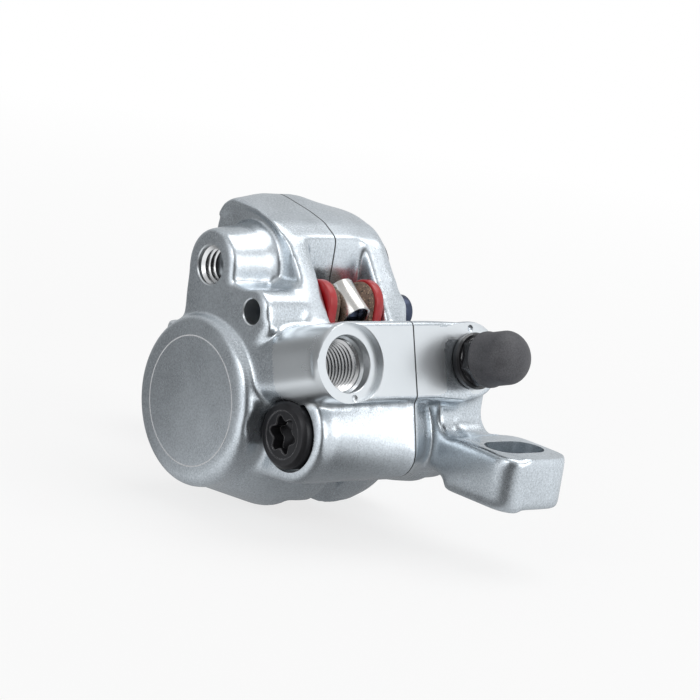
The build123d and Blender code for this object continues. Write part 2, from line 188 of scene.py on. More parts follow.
def softCopy(node, width):
    # a copy of a CAD solid in millimetres, with its hard edges rounded
    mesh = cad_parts[node].data.copy()
    mesh.transform(toPiston)
    bm = bmesh.new()
    bm.from_mesh(mesh)
    bmesh.ops.remove_doubles(bm, verts=bm.verts, dist=rounding["weld"])
    flat, hard = radians(rounding["flat"]), radians(rounding["hard"])
    bmesh.ops.dissolve_limit(bm, angle_limit=flat, verts=bm.verts, edges=bm.edges, delimit={"NORMAL"})
    edges = [e for e in bm.edges if e.is_manifold and e.calc_face_angle(0) > hard]
    steps = rounding["segments"]
    bmesh.ops.bevel(bm, geom=edges, offset=width, segments=steps, profile=0.5, affect="EDGES", clamp_overlap=True)
    bmesh.ops.recalc_face_normals(bm, faces=bm.faces)
    bpy.data.meshes.remove(mesh)
    return asMesh(bm, node)


# Node groups that several finishes share
def newGroup(name, inputs, outputs):
    group = bpy.data.node_groups.new(name, "ShaderNodeTree")
    for label, value in inputs.items():
        socket = group.interface.new_socket(label, in_out="INPUT", socket_type="NodeSocketFloat")
        socket.default_value = value
    for label in outputs:
        group.interface.new_socket(label, in_out="OUTPUT", socket_type="NodeSocketFloat")
    return group, group.nodes.new("NodeGroupInput"), group.nodes.new("NodeGroupOutput")


def addNode(tree, kind, links=None, **settings):
    node = tree.nodes.new(kind)
    for label, value in settings.items():
        setattr(node, label, value)
    for label, value in (links or {}).items():
        if isinstance(value, bpy.types.NodeSocket):
            tree.links.new(value, node.inputs[label])
        else:
            node.inputs[label].default_value = value
    return node


def grainGroup():
    # fine grain for bump, and a broad cloud for colour and gloss; sizes are in millimetres
    group, given, result = newGroup("grain", {"fine": 8.0, "broad": 0.25}, ("height", "cloud"))
    place = addNode(group, "ShaderNodeTexCoord").outputs["Object"]
    inMillimetres = addNode(group, "ShaderNodeVectorMath", {0: place, "Scale": 1000.0}, operation="SCALE")
    fine = addNode(
        group,
        "ShaderNodeTexNoise",
        {"Vector": inMillimetres.outputs[0], "Scale": given.outputs["fine"], "Detail": 3.0, "Roughness": 0.6},
    )
    broad = addNode(
        group,
        "ShaderNodeTexNoise",
        {"Vector": inMillimetres.outputs[0], "Scale": given.outputs["broad"], "Detail": 4.0, "Roughness": 0.55},
    )
    group.links.new(fine.outputs[0], result.inputs["height"])
    group.links.new(broad.outputs[0], result.inputs["cloud"])
    return group


def edgeWearAndHighlightGroup():
    # how far the surface turns within the radius, broken up by noise: worn edges and corners, and on the red plates a
    # painted highlight along the edges
    group, given, result = newGroup("edgeWearAndHighlight", {"radius": 0.0003, "amount": 6.0, "breakup": 1.2}, ("mask",))
    rounded = addNode(group, "ShaderNodeBevel", {"Radius": given.outputs["radius"]}, samples=4)
    plain = addNode(group, "ShaderNodeNewGeometry")
    turn = addNode(
        group,
        "ShaderNodeVectorMath",
        {0: rounded.outputs[0], 1: plain.outputs["Normal"]},
        operation="DOT_PRODUCT",
    )
    away = addNode(group, "ShaderNodeMath", {0: 1.0, 1: turn.outputs["Value"]}, operation="SUBTRACT")
    place = addNode(group, "ShaderNodeTexCoord").outputs["Object"]
    inMillimetres = addNode(group, "ShaderNodeVectorMath", {0: place, "Scale": 1000.0}, operation="SCALE")
    noise = addNode(
        group,
        "ShaderNodeTexNoise",
        {"Vector": inMillimetres.outputs[0], "Scale": given.outputs["breakup"], "Detail": 4.0},
    )
    uneven = addNode(group, "ShaderNodeMath", {0: noise.outputs[0], 1: 1.6}, operation="MULTIPLY")
    strength = addNode(
        group, "ShaderNodeMath", {0: given.outputs["amount"], 1: uneven.outputs[0]}, operation="MULTIPLY"
    )
    mask = addNode(
        group, "ShaderNodeMath", {0: away.outputs[0], 1: strength.outputs[0]}, operation="MULTIPLY", use_clamp=True
    )
    group.links.new(mask.outputs[0], result.inputs["mask"])
    return group


grain = grainGroup()
edgeWearAndHighlight = edgeWearAndHighlightGroup()


def surface(name, finish):
    # one finish: colour varied by cloud and speckle, gloss by the cloud, bump from the grain, and an edge colour that
    # is wear on most parts and a painted highlight on the red plates
    material = bpy.data.materials.new(name)
    material.use_nodes = True
    tree = material.node_tree
    shader = tree.nodes["Principled BSDF"]
    texture = addNode(tree, "ShaderNodeGroup", node_tree=grain)
    texture.inputs["fine"].default_value = finish.get("fine", 8.0)
    texture.inputs["broad"].default_value = finish.get("broad", 0.25)
    speckled = finish.get("speckle", 0.0)
    speckle = addNode(
        tree, "ShaderNodeMath", {0: texture.outputs["height"], 1: speckled, 2: -speckled / 2}, operation="MULTIPLY_ADD"
    )
    shade = addNode(
        tree, "ShaderNodeMath", {0: texture.outputs["cloud"], 1: speckle.outputs[0]}, operation="ADD", use_clamp=True
    )
    colour = addNode(
        tree,
        "ShaderNodeMix",
        {0: shade.outputs[0], 6: (*finish["dark"], 1), 7: (*finish["light"], 1)},
        data_type="RGBA",
    ).outputs[2]
    gloss = addNode(
        tree,
        "ShaderNodeMapRange",
        {"Value": texture.outputs["cloud"], "From Min": 0.3, "From Max": 0.7},
    )
    gloss.inputs["To Min"].default_value = finish["gloss"][0]
    gloss.inputs["To Max"].default_value = finish["gloss"][1]
    if "wearAndHighlightEdge" in finish:
        wearAndHighlightEdge = addNode(tree, "ShaderNodeGroup", node_tree=edgeWearAndHighlight)
        for label in ("radius", "amount", "breakup"):
            wearAndHighlightEdge.inputs[label].default_value = finish["wearAndHighlightEdge"][label]
        colour = addNode(
            tree,
            "ShaderNodeMix",
            {0: wearAndHighlightEdge.outputs["mask"], 6: colour, 7: (*finish["wearAndHighlightEdge"]["colour"], 1)},
            data_type="RGBA",
        ).outputs[2]
    tree.links.new(colour, shader.inputs["Base Color"])
    tree.links.new(gloss.outputs[0], shader.inputs["Roughness"])
    bump = addNode(tree, "ShaderNodeBump", {"Height": texture.outputs["height"]})
    bump.inputs["Strength"].default_value = finish.get("bump", 0.1)
    bump.inputs["Distance"].default_value = finish.get("depth", 0.00002)
    tree.links.new(bump.outputs[0], shader.inputs["Normal"])
    shader.inputs["Metallic"].default_value = finish.get("metallic", 0)
    shader.inputs["Coat Weight"].default_value = finish.get("coat", 0)
    shader.inputs["Coat Roughness"].default_value = finish.get("coatRoughness", 0.1)
    shader.inputs["Specular IOR Level"].default_value = finish.get("specular", 0.5)
    return material


finishes = {
    "castMetal": {
        "dark": (0.45, 0.485, 0.515), "light": (0.76, 0.815, 0.86), "metallic": 0.95, "gloss": (0.24, 0.30),
        "fine": 3.6, "broad": 0.10, "bump": 0.45, "depth": 0.00002, "speckle": 1.8,
    },
    "machinedMetal": {
        "dark": (0.66, 0.69, 0.71), "light": (0.72, 0.75, 0.77), "metallic": 0.95, "gloss": (0.27, 0.31),
        "fine": 9.0, "broad": 0.15, "bump": 0.12, "depth": 0.00002,
    },
    "jointShade": {
        "dark": (0.10, 0.105, 0.11), "light": (0.15, 0.155, 0.16), "metallic": 0.6, "gloss": (0.4, 0.5),
        "fine": 9.0, "broad": 0.3, "bump": 0.1, "depth": 0.00002,
    },
    "threadMetal": {
        "dark": (0.62, 0.62, 0.62), "light": (0.78, 0.78, 0.78), "metallic": 1.0, "gloss": (0.18, 0.28),
        "fine": 10.0, "broad": 0.5, "bump": 0.05, "depth": 0.00002,
    },
    "ringPaint": {
        "dark": (0.62, 0.63, 0.65), "light": (0.72, 0.73, 0.75), "gloss": (0.4, 0.5),
        "fine": 14.0, "broad": 0.4, "bump": 0.05, "depth": 0.00001,
    },
    "boltBlack": {
        "dark": (0.012, 0.012, 0.014), "light": (0.034, 0.034, 0.038), "metallic": 0.5, "gloss": (0.30, 0.42),
        "fine": 6.0, "broad": 0.6, "bump": 0.15, "depth": 0.00004,
        "wearAndHighlightEdge": {"radius": 0.00022, "amount": 5.0, "breakup": 1.6, "colour": (0.33, 0.33, 0.34)},
    },
    "nippleBlack": {
        "dark": (0.012, 0.012, 0.014), "light": (0.022, 0.022, 0.025), "metallic": 0.2, "gloss": (0.16, 0.26),
        "fine": 7.0, "broad": 0.5, "bump": 0.08, "depth": 0.00002, "coat": 0.5, "coatRoughness": 0.08,
        "wearAndHighlightEdge": {"radius": 0.00015, "amount": 1.6, "breakup": 2.0, "colour": (0.20, 0.20, 0.21)},
    },
    "capRubber": {
        "dark": (0.035, 0.035, 0.040), "light": (0.105, 0.105, 0.115), "gloss": (0.48, 0.60),
        "fine": 5.0, "broad": 0.5, "bump": 0.4, "depth": 0.00004, "speckle": 1.6,
    },
    "plateRed": {
        "dark": (0.40, 0.006, 0.009), "light": (0.50, 0.010, 0.014), "gloss": (0.28, 0.40),
        "fine": 5.0, "broad": 0.5, "bump": 0.2, "depth": 0.00004, "coat": 0.3, "coatRoughness": 0.2,
        # the lighter red on the plates' edges is a painted highlight, not worn paint
        "wearAndHighlightEdge": {"radius": 0.0002, "amount": 2.5, "breakup": 1.8, "colour": (0.75, 0.18, 0.16)},
    },
    "springSteel": {
        "dark": (0.62, 0.60, 0.57), "light": (0.74, 0.72, 0.69), "metallic": 1.0, "gloss": (0.2, 0.3),
        "fine": 10.0, "broad": 0.5, "bump": 0.06, "depth": 0.00002,
    },
    # dark blued steel, made darker all over as painted shade for the shank that lies in the spring's shadow
    "pinBluedSteelAndShade": {
        "dark": (0.040, 0.050, 0.085), "light": (0.070, 0.085, 0.13), "metallic": 0.9, "gloss": (0.25, 0.36),
        "fine": 9.0, "broad": 0.6, "bump": 0.06, "depth": 0.00002,
        "wearAndHighlightEdge": {"radius": 0.0002, "amount": 4.0, "breakup": 2.0, "colour": (0.6, 0.6, 0.62)},
    },
    "pistonMetal": {
        "dark": (0.62, 0.62, 0.60), "light": (0.74, 0.74, 0.72), "metallic": 1.0, "gloss": (0.16, 0.24),
        "fine": 10.0, "broad": 0.4, "bump": 0.05, "depth": 0.00002,
    },
    "insulatorWhite": {
        "dark": (0.60, 0.57, 0.50), "light": (0.72, 0.69, 0.62), "gloss": (0.45, 0.6),
        "fine": 6.0, "broad": 0.5, "bump": 0.1, "depth": 0.00004,
    },
    "sealRubber": {
        "dark": (0.02, 0.02, 0.02), "light": (0.04, 0.04, 0.04), "gloss": (0.4, 0.5),
        "fine": 8.0, "broad": 0.5, "bump": 0.1, "depth": 0.00003,
    },
}


# Pressed friction compound; specks are (scale, size, colour)
friction = {
    "dark": (0.11, 0.065, 0.045), "light": (0.20, 0.13, 0.095), "gloss": (0.6, 0.8),
    "fine": 3.5, "broad": 1.2, "bump": 0.6, "depth": 0.0001,
    "specks": ((2600.0, 0.22, (0.42, 0.30, 0.20, 1)), (1900.0, 0.20, (0.03, 0.025, 0.02, 1))), "speckEdge": 0.12,
}


def frictionMaterial():
    # brown ground with brassy and dark specks
    material = surface("friction", friction)
    tree = material.node_tree
    shader = tree.nodes["Principled BSDF"]
    ground = shader.inputs["Base Color"].links[0].from_socket
    place = addNode(tree, "ShaderNodeTexCoord").outputs["Object"]
    for scale, size, colour in friction["specks"]:
        specks = addNode(tree, "ShaderNodeTexVoronoi", {"Vector": place, "Scale": scale})
        mask = addNode(tree, "ShaderNodeMapRange", {"Value": specks.outputs["Distance"]})
        ends = {"From Min": size, "From Max": size + friction["speckEdge"], "To Min": 1, "To Max": 0}
        for label, value in ends.items():
            mask.inputs[label].default_value = value
        ground = addNode(tree, "ShaderNodeMix", {0: mask.outputs[0], 6: ground, 7: colour}, data_type="RGBA").outputs[2]
    tree.links.new(ground, shader.inputs["Base Color"])
    return material


materials = {name: surface(name, finish) for name, finish in finishes.items()}
materials["friction"] = frictionMaterial()
print("materials ready")


# The two halves: sizes from the piston axis, bolt places as (x, z), angles in degrees
body = {
    "blockFace": 29.9,
    "blockLow": -3.5,
    "blockHigh": 12,
    "blockReach": 21,
    "blockSkim": 0.04,  # taken off the block's face
    "webFace": 18,
    "webEnd": 27.2,  # along the block
    "webTurns": (14, 180, 4),
    "farOut": 40,  # well clear of the casting
    "bossRadius": 13.45,
    "bossFace": 20,
    "ringRadius": 10.1,
    "cutReach": 5,
    "portY": -12.6,
    "bleedY": 12,
    "portUp": 3.5,
    "recessRadius": 6.05,
    "recessDepth": 1.1,
    "portRadius": 4,
    "portMouth": 4.35,
    "mouthDepth": 1.45,
    "mouthCone": 0.35,
    "portDepth": 11,
    "bleedRadius": 3.05,
    "bleedDepth": 10,
    "spotRadius": 5.2,
    "spotDepth": 0.05,
    "upperBolt": (-2.6, 20.9),
    "upperHoleRadius": 3.05,
    "upperHoleEnd": 13.3,
    "lowerBolt": (18.2, -0.5),
    "counterboreRadius": 5.6,
    "counterboreSeat": 13.2,
    "lowerFace": 15,
    "headSpace": 5.3,
    "pin": (8.75, 16.25),
    "pinHoleRadius": 1.95,
    "pinHoleEnd": 8.9,
    "cylinderRadius": 10.56,
    "cylinderStart": 3,
    "cylinderEnd": 17,
    "rimBreak": 0.18,
    "earRimBreak": 0.9,  # share of the rim break
    "seamBreak": 0.14,
    "dimples": ((11.9, 8.6, 0), (-11.7, -1.7, 1.1)),  # y, up, depth of the face they are in
    "dimpleRadius": 0.6,
    "voxel": 0.3,
    "softRounds": 18,
    "softStep": 0.55,  # how far each round goes
}

# The hood over the rotor, side view as (x, z); each ramp is where it starts and how long it is
hood = {
    "outline": ((-12.6, 28.4), (-10.4, 30.6), (-2.1, 29.8), (1.6, 28.9), (5.1, 27), (14.1, 15.2)),
    "top": 30.6,
    "halfWidth": 10.6,
    "oldCrown": 18,  # radius across the solids' hood
    "crown": 80,
    "foot": 21.5,
    "sideRamp": (4, 6),
    "nearCorner": 3.4,
    "nearRamp": (8.4, 4.6),
    "farCorner": 1.5,
    "farRamp": (6, 5),
    "farDrop": 0.5,
    "cornerPower": 1.5,
    "lift": 0.4,
    "liftRamps": ((2, 6), (-8, 6)),
    "farLeg": 0.5,
    "legRamps": ((7, 3), (1, 3), (15.5, 4)),
    "arch": ((-16, 22), (-16, 25.9), (-12.7, 26), (-11.3, 27.3), (-9, 28.6), (-6, 29.4), (-2.8, 29.3), (-0.1, 28.7),
             (2.3, 27.7), (4.6, 26.3), (6.5, 24.5), (8.1, 22.8), (9.5, 21.2), (9.4, 20.4)),
    "archInner": 6.9,
    "archTurns": (-5, 181, 5),
    "archFloor": 9.6,
}

# The mounting ears with their slots
ears = {
    "slotX": 37,
    "slotY": 14.1,
    "slotRadius": 3.2,
    "slotStraight": 2,
    "slotSteps": 48,
    "seat": -6.3,
    "top": 1.9,
    "inner": 30.3,  # where the flat top starts, from the middle
    "tip": 46,
    "front": 5,
    "back": 23,
    "edge": 0.7,
    "push": 0.35,
    "below": 2,  # the slot cutter's spare length
    "above": 4,
    "skim": 3,  # height of the flat cutter
}

# How far the plugs reach that close the solids' holes before the cast skin is made
plug = {
    "overlap": 0.06,
    "threadOverlap": 0.3,
    "behind": 1,
    "behindPort": 1.5,
    "upperEnd": -11.8,
    "lowerRadius": 3.4,
    "lowerEnd": -12.5,
    "pinNear": 7.5,
    "pinFar": (9.5, 11),
    "ringOverlap": 0.4,
    "ringDepth": 0.6,
    "slotOver": 0.9,
    "earStart": 9,
    "earRoot": 6.75,
    "earTip": 5.65,
    "earShort": 0.6,
}


def slotPrism(side, radius, low, high):
    # a mounting slot's outline, from low to high
    outline = []
    for step in range(ears["slotSteps"]):
        angle = 2 * pi * (step + 0.5) / ears["slotSteps"]
        end = ears["slotStraight"] if sin(angle) > 0 else -ears["slotStraight"]
        x = side * ears["slotX"] + radius * cos(angle)
        outline.append(Vector((x, ears["slotY"] + end + radius * sin(angle), 0)))
    return prism(outline, Vector((0, 0, low)), Vector((0, 0, high)))


def holePlugs():
    # (radius, height) profile, base and direction of each plug
    port = onBlock(0, body["portY"], body["portUp"])
    bleed = onBlock(0, body["bleedY"], body["portUp"])
    upper, lower, pin = (across(body[spot]) for spot in ("upperBolt", "lowerBolt", "pin"))
    face, web, boss = body["blockFace"], body["webFace"], body["bossFace"]
    floorAt = face - body["recessDepth"]
    seat = body["counterboreSeat"]
    over, threadOver, behind = plug["overlap"], plug["threadOverlap"], plug["behind"]
    cylinders = [
        (port, blockAxis, body["recessRadius"] - over, floorAt - behind, face),
        (port, blockAxis, body["portRadius"] + threadOver, floorAt - body["portDepth"] - plug["behindPort"], face),
        (bleed, blockAxis, body["bleedRadius"] + over, face - body["bleedDepth"] - behind, face),
        (upper, nearWay, body["upperHoleRadius"] + threadOver, plug["upperEnd"], web),
        (lower, nearWay, body["counterboreRadius"] + over, seat - behind, body["lowerFace"]),
        (lower, nearWay, plug["lowerRadius"], plug["lowerEnd"], seat),
        (pin, nearWay, body["pinHoleRadius"] + over, plug["pinNear"], web),
        (pin, farWay, body["pinHoleRadius"] + over, *plug["pinFar"]),
        (origin, nearWay, body["ringRadius"] + plug["ringOverlap"], boss - plug["ringDepth"], boss),
    ]
    for base, way, radius, low, high in cylinders:
        yield [(0, low), (radius, low), (radius, high), (0, high)], base, way
    start, end = plug["earStart"], web - plug["earShort"]  # the upper ear gets a little cone to it
    yield [(0, start), (plug["earRoot"], start), (plug["earTip"], end), (0, end)], upper, nearWay


def filledBody():
    # both CAD halves with their holes filled
    bm = bmesh.new()
    for node in ("near_body", "far_body"):
        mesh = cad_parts[node].data.copy()
        mesh.transform(toPiston)
        bm.from_mesh(mesh)
        bpy.data.meshes.remove(mesh)
    bmesh.ops.remove_doubles(bm, verts=bm.verts, dist=0.001)
    for vert in bm.verts:  # the ears' tops are raised here and machined flat later
        place = vert.co
        if abs(place.x) > ears["inner"] and ears["top"] - ears["edge"] < place.z < ears["top"] + 0.1:
            place.z += ears["push"]
    forms = [turned(*shape) for shape in holePlugs()]
    for side in (-1, 1):
        radius = ears["slotRadius"] + plug["overlap"]
        forms.append(slotPrism(side, radius, ears["seat"] + plug["overlap"], ears["top"] + plug["slotOver"]))
    for form in forms:
        mesh = asMesh(form, "plug")
        bm.from_mesh(mesh)
        bpy.data.meshes.remove(mesh)
    return asMesh(bm, "casting")


def softened(mesh, rounds, part):
    # each round moves every point part of the way to the middle of its neighbours
    edges = np.zeros(len(mesh.edges) * 2, np.int64)
    mesh.edges.foreach_get("vertices", edges)
    first, second = edges.reshape(-1, 2).T
    count = np.bincount(np.concatenate([first, second]), minlength=len(mesh.vertices))
    places = points(mesh)
    for step in range(rounds):
        total = np.zeros_like(places)
        for axis in range(3):
            total[:, axis] = np.bincount(first, places[second, axis], len(places)) + np.bincount(
                second, places[first, axis], len(places)
            )
        places += (total / count[:, None] - places) * part
    setPoints(mesh, places)


def ramp(value, start, length):
    # 0 up to the start, then evenly up to 1
    return np.clip((value - start) / length, 0, 1)


def raised(mesh):
    # the hood gets a flatter crown, fuller shoulders and a fallen left end
    places = points(mesh)
    x, y, z = places.T
    outline = np.interp(x, *zip(*hood["outline"]))
    spread = np.minimum(np.abs(y), hood["halfWidth"])

    def crown(radius):
        return np.minimum(outline, hood["top"] - radius + np.sqrt(radius**2 - spread**2))

    was, now = crown(hood["oldCrown"]), crown(hood["crown"])
    farCorner = hood["farDrop"] + hood["farCorner"] * ramp(-x, *hood["farRamp"]) ** hood["cornerPower"]
    nearCorner = hood["nearCorner"] * ramp(-x, *hood["nearRamp"]) ** hood["cornerPower"]
    corner = ramp(np.abs(y), *hood["sideRamp"]) * np.where(y > 0, farCorner, nearCorner)
    leftward, nearward = hood["liftRamps"]
    lift = hood["lift"] * ramp(-x, *leftward) * ramp(-y, *nearward)
    share = ramp(z, hood["foot"], was - hood["foot"])
    share[np.abs(y) > hood["halfWidth"] + body["voxel"] / 2] = 0
    places[:, 2] += (now - was - corner + lift) * share
    farward, rightward, upward = hood["legRamps"]
    places[:, 0] += hood["farLeg"] * (ramp(y, *farward) * ramp(x, *rightward) * ramp(z, *upward))
    setPoints(mesh, places)


def webCutter():
    # everything in front of the flat web, outside the round boss
    turns = [radians(angle) for angle in range(*body["webTurns"])]
    inner = [Vector((cos(a), 0, sin(a))) * body["bossRadius"] for a in turns]
    far = body["farOut"]
    outer = [across((-far, inner[-1].z)), across((-far, far))]
    for height in (far, inner[0].z):
        outer.append(across(((body["webEnd"] - height * blockAxis.z) / blockAxis.x, height)))
    return prism(inner + outer, nearWay * body["webFace"], nearWay * (body["webFace"] + body["cutReach"]))


def archCutter():
    # the arched hollow in the hood's side, round the upper ear
    turns = [radians(angle) for angle in range(*hood["archTurns"])]
    centre = across(body["upperBolt"])
    inner = [centre + Vector((cos(a), 0, sin(a))) * hood["archInner"] for a in turns]
    outer = [across(spot) for spot in hood["arch"]]
    return prism(outer + inner, nearWay * hood["archFloor"], nearWay * (body["webFace"] + body["cutReach"]))


def blockCutter():
    # the block's face, flat up to its edges
    corners = ((-1, "blockLow"), (1, "blockLow"), (1, "blockHigh"), (-1, "blockHigh"))
    skimmed = body["blockFace"] - body["blockSkim"]
    outline = [onBlock(skimmed, side * body["blockReach"], body[up]) for side, up in corners]
    return prism(outline, origin, blockAxis * body["cutReach"])


def holeCutters():
    # every drilled, bored or milled place, with a broken edge at its mouth
    edge = body["rimBreak"]
    face = body["blockFace"]
    floorAt = face - body["recessDepth"]
    out = face + body["cutReach"]
    front = body["webFace"] + body["cutReach"]
    port = [
        (0, floorAt - body["portDepth"]),
        (body["portRadius"], floorAt - body["portDepth"]),
        (body["portRadius"], floorAt - body["mouthDepth"] - body["mouthCone"]),
        (body["portMouth"], floorAt - body["mouthDepth"]),
        (body["portMouth"], floorAt - edge / 2),
        (body["portMouth"] + edge / 2, floorAt),
        (body["recessRadius"], floorAt),
        (body["recessRadius"], face - edge * 0.8),
        (body["recessRadius"] + edge * 1.2, face + edge * 0.4),
        (body["recessRadius"] + edge * 1.2, out),
        (0, out),
    ]
    yield turned(port, onBlock(0, body["portY"], body["portUp"]), blockAxis, 128)
    bleed = [
        (0, face - body["bleedDepth"]),
        (body["bleedRadius"], face - body["bleedDepth"]),
        (body["bleedRadius"], face - body["spotDepth"]),
        (body["spotRadius"], face - body["spotDepth"]),
        (body["spotRadius"], out),
        (0, out),
    ]
    yield turned(bleed, onBlock(0, body["bleedY"], body["portUp"]), blockAxis, 128)
    counterbore = [
        (0, body["counterboreSeat"]),
        (body["counterboreRadius"], body["counterboreSeat"]),
        (body["counterboreRadius"], body["lowerFace"] - edge),
        (body["counterboreRadius"] + edge * 2, body["lowerFace"] + edge),
        (body["headSpace"], body["lowerFace"] + edge),
        (body["headSpace"], front),
        (0, front),
    ]
    yield turned(counterbore, across(body["lowerBolt"]), nearWay, 128)
    for spot, radius, end, rim in (
        (body["upperBolt"], body["upperHoleRadius"], body["upperHoleEnd"], edge * body["earRimBreak"]),
        (body["pin"], body["pinHoleRadius"], body["pinHoleEnd"], edge),
    ):
        hole = [
            (0, end),
            (radius, end),
            (radius, body["webFace"] - rim),
            (radius + rim * 2, body["webFace"] + rim),
            (radius + rim * 2, front),
            (0, front),
        ]
        yield turned(hole, across(spot), nearWay)
    for side in (-1, 1):
        yield slotPrism(side, ears["slotRadius"], ears["seat"] - ears["below"], ears["top"] + ears["above"])
        low, high = sorted((side * ears["inner"], side * ears["tip"]))
        corners = ((low, ears["front"]), (high, ears["front"]), (high, ears["back"]), (low, ears["back"]))
        yield prism([Vector((x, y, ears["top"])) for x, y in corners], origin, Vector((0, 0, ears["skim"])))
    for way in (nearWay, farWay):
        radius = body["cylinderRadius"]
        low, high = body["cylinderStart"], body["cylinderEnd"]
        yield turned([(0, low), (radius, low), (radius, high), (0, high)], origin, way, 128)
    size = body["dimpleRadius"]
    for y, up, depth in body["dimples"]:
        top = face - depth
        dimple = [(0, top - size * 0.7), (size * 0.6, top - size * 0.45), (size, top), (size, top + 1), (0, top + 1)]
        yield turned(dimple, onBlock(0, y, up), blockAxis, 24)


def remeshed(thing):
    # one closed skin over everything that the object holds
    remesh = thing.modifiers.new("remesh", "REMESH")
    remesh.mode = "VOXEL"
    remesh.voxel_size = body["voxel"]
    applied(thing)


def wholeCasting():
    casting = asObject(filledBody(), "casting")
    remeshed(casting)
    raised(casting.data)
    cut(casting, webCutter())
    cut(casting, archCutter())
    remeshed(casting)
    softened(casting.data, body["softRounds"], body["softStep"])
    print("casting", len(casting.data.polygons), "faces")
    cut(casting, blockCutter())
    for cutter in holeCutters():
        cut(casting, cutter)
    print("casting cut", len(casting.data.polygons), "faces")
    return casting


def half(casting, side):
    # one side of the joint plane, with a broken edge round the joint
    bm = bmesh.new()
    bm.from_mesh(casting.data)
    edge = body["seamBreak"]
    way = Vector((0, side, 0))

    def trim(depth, clear):
        bmesh.ops.bisect_plane(
            bm,
            geom=bm.verts[:] + bm.edges[:] + bm.faces[:],
            dist=1e-5,
            plane_co=way * depth,
            plane_no=way,
            clear_inner=clear,
        )

    trim(0, True)
    trim(edge, False)
    bm.normal_update()
    rim = [e for e in bm.edges if e.is_boundary]
    moves = {}
    for vert in {v for e in rim for v in e.verts}:
        inward = Vector((vert.normal.x, 0, vert.normal.z))
        if inward.length > 0.1:
            moves[vert] = inward.normalized() * edge
    for vert, move in moves.items():
        vert.co -= move
        vert.co.y = 0
    bmesh.ops.triangle_fill(bm, use_beauty=True, use_dissolve=False, edges=rim)
    bmesh.ops.recalc_face_normals(bm, faces=bm.faces)
    return asMesh(bm, "half")


def markMachined(mesh):
    # cut faces take the second finish, and the broken edge at the joint the third
    count = len(mesh.polygons)
    flat = np.zeros(count * 3)
    mesh.polygons.foreach_get("center", flat)
    centre = flat.reshape(-1, 3)
    slack = 0.02
    along = centre @ np.array(blockAxis)
    up = centre @ np.array(blockUp)
    face = body["blockFace"]

    def near(spot, radius):
        return np.hypot(centre[:, 0] - spot[0], centre[:, 2] - spot[1]) < radius + slack

    fromPort = np.hypot(centre[:, 1] - body["portY"], up - body["portUp"])
    portRim = body["recessRadius"] + body["rimBreak"] * 2
    machined = (np.abs(along - face + body["blockSkim"]) < slack) & (up > body["blockLow"])
    portEnd = face - body["recessDepth"] - body["portDepth"]
    machined |= (fromPort < portRim) & (along > portEnd - slack) & (along < face + slack)
    y, edge = centre[:, 1], body["rimBreak"]
    seat, lowerFace = body["counterboreSeat"], body["lowerFace"]
    inBore = np.abs(y + (seat + lowerFace) / 2) < (lowerFace - seat) / 2 + edge
    machined |= near(body["lowerBolt"], body["counterboreRadius"] + edge) & inBore
    for spot, radius, end in (("upperBolt", "upperHoleRadius", "upperHoleEnd"), ("pin", "pinHoleRadius", "pinHoleEnd")):
        machined |= near(body[spot], body[radius] + edge) & (y < -body[end] + slack)
    index = np.where(machined, 1, 0).astype(np.int32)
    index[np.abs(y) < body["seamBreak"] * 0.95] = 2
    mesh.polygons.foreach_set("material_index", index)


def buildBodies():
    casting = wholeCasting()
    coats = [materials[finish] for finish in ("castMetal", "machinedMetal", "jointShade")]
    for name, node, side in (("near_casting", "near_body", -1), ("far_casting", "far_body", 1)):
        mesh = half(casting, side)
        markMachined(mesh)
        index = np.zeros(len(mesh.polygons), np.int32)
        mesh.polygons.foreach_get("material_index", index)
        finishPiece(name, mesh, coats, "caliper", "cast_body", (node,))
        mesh.polygons.foreach_set("material_index", index)  # clearing the materials had reset it
        print(name, len(mesh.polygons), "faces")
    old = casting.data
    bpy.data.objects.remove(casting)
    bpy.data.meshes.remove(old)


# The thin light ring on the round boss
ring = {"halfWidth": 0.09, "proud": 0.01, "deep": 0.12}


def bossRing():
    inner, outer = body["ringRadius"] - ring["halfWidth"], body["ringRadius"] + ring["halfWidth"]
    low, high = body["bossFace"] - ring["deep"], body["bossFace"] + ring["proud"]
    profile = [(inner, low), (inner, high), (outer, high), (outer, low)]
    mesh = asMesh(turned(profile, origin, nearWay, 192), "ring")
    finishPiece("boss_ring", mesh, (materials["ringPaint"],), "caliper", "cast_body")


# Threads in the hose port and in the upper ear
threads = {
    "port_thread": {"base": onBlock(0, body["portY"], body["portUp"]), "way": blockAxis, "low": 17.9, "high": 27.1,
                    "major": 4.03, "minor": 3.55, "pitch": 0.75},
    "ear_thread": {"base": across(body["upperBolt"]), "way": nearWay, "low": 13.4, "high": 17.85,
                   "major": 3.08, "minor": 2.5, "pitch": 1.0},
}
ridge = {"crest": 0.09, "root": 0.47, "sunk": 0.05, "steps": 72}  # half widths as shares of the pitch


